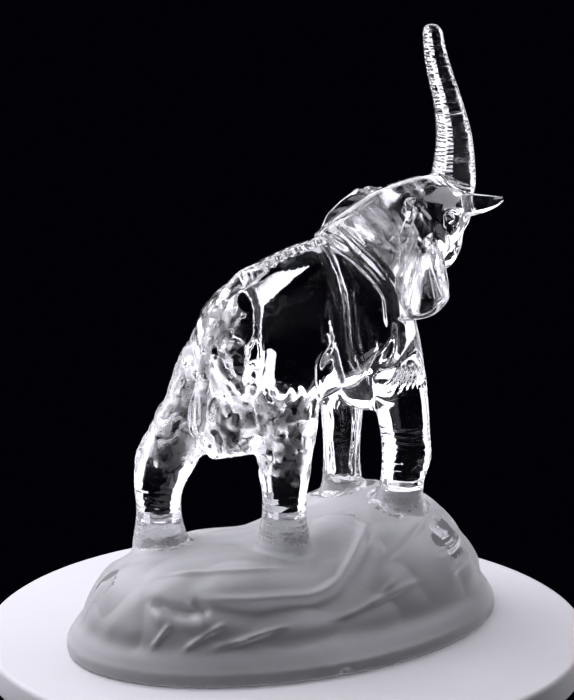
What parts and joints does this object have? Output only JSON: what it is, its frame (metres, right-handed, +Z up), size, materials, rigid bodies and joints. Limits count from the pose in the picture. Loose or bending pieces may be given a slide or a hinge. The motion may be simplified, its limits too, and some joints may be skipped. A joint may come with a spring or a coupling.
{
  "type": "crystal elephant figurine",
  "caption": "Clear crystal elephant with a raised trunk, walking over a frosted oval mound; bonded from separate glass pieces, and it stands on a flat underside.",
  "frame": {"origin": "middle of the oval underside, on the plane that the mound stands on", "axes": "+Z up, -Y the way the elephant looks along the long axis of the mound, +X the elephant's left"},
  "size_m": [0.121, 0.182, 0.2324],
  "materials": {
    "clear_crystal": "fire-polished clear crystal",
    "frosted_crystal": "acid-frosted satin crystal with a few clear patches"
  },
  "bodies": {
    "root": {"base": "frosted_crystal", "body": "clear_crystal", "head": "clear_crystal", "trunk": "clear_crystal", "left_ear": "clear_crystal", "right_ear": "clear_crystal", "left_tusk": "clear_crystal", "right_tusk": "clear_crystal", "tail": "clear_crystal"}
  },
  "joints": []
}
